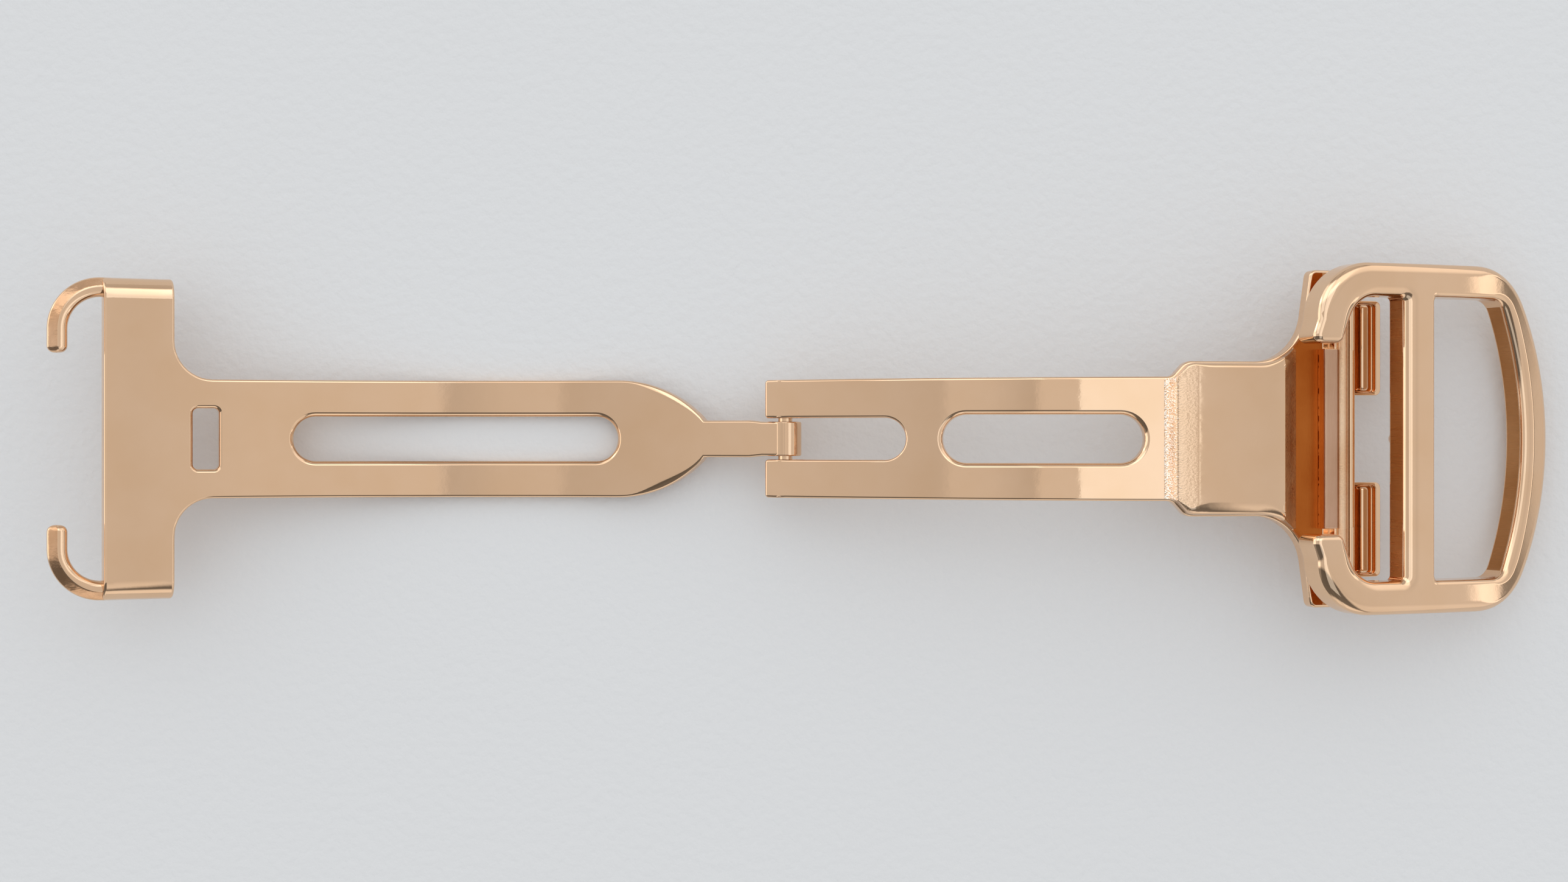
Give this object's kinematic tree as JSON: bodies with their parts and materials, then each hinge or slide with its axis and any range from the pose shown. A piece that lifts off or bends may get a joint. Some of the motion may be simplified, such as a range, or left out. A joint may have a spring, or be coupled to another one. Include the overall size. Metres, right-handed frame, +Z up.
{
  "type": "deployant clasp",
  "caption": "Folding strap clasp laid open: curved hinged blades, a T-shaped head with guard hooks and a sprung bar, and a D-shaped buckle frame that swings up on a rod.",
  "frame": {"origin": "bottom centre of the open clasp's bounding box, on the surface that the clasp lies on", "axes": "+X from the T-shaped head towards the buckle frame, +Y across the strap, +Z up, out of the blades' top faces"},
  "size_m": [0.0862, 0.0198, 0.0083],
  "materials": {
    "polished_gold": "polished",
    "satin_gold": "satin",
    "spring_steel": "drawn wire"
  },
  "bodies": {
    "short_side": {"short_blade": "polished_gold", "neck_plate": "polished_gold", "strap_rest_bar": "satin_gold", "frame_hinge_rod": "polished_gold", "upper_grip_bar": "polished_gold", "lower_grip_bar": "polished_gold", "blade_hinge_pin": "polished_gold"},
    "long_side": {"long_blade": "polished_gold", "upper_guard_hook": "polished_gold", "lower_guard_hook": "polished_gold", "strap_bar_tube": "polished_gold", "strap_bar_spring": "spring_steel"},
    "bar_upper_tip": {"strap_bar_upper_tip": "polished_gold"},
    "bar_lower_tip": {"strap_bar_lower_tip": "polished_gold"},
    "swing_frame": {"buckle_frame": "polished_gold", "strap_post": "polished_gold"}
  },
  "joints": [
    {"name": "blade_fold", "type": "hinge", "parent": "short_side", "child": "long_side", "pos_m": [-0.00114, 0, 0.00279], "axis": [0, -1, 0], "range_deg": [0, 180]},
    {"name": "frame_swing", "type": "hinge", "parent": "short_side", "child": "swing_frame", "pos_m": [0.03072, 0, 0.00441], "axis": [0, -1, 0], "range_deg": [0, 25]},
    {"name": "upper_tip_slide", "type": "slide", "parent": "long_side", "child": "bar_upper_tip", "axis": [0, -1, 0], "range_m": [0, 0.0007], "stiffness_N_per_m": 100, "springref_m": -0.003, "deforming": ["strap_bar_spring"]},
    {"name": "lower_tip_slide", "type": "slide", "parent": "long_side", "child": "bar_lower_tip", "axis": [0, 1, 0], "range_m": [0, 0.0007], "stiffness_N_per_m": 100, "springref_m": -0.003, "deforming": ["strap_bar_spring"]}
  ]
}
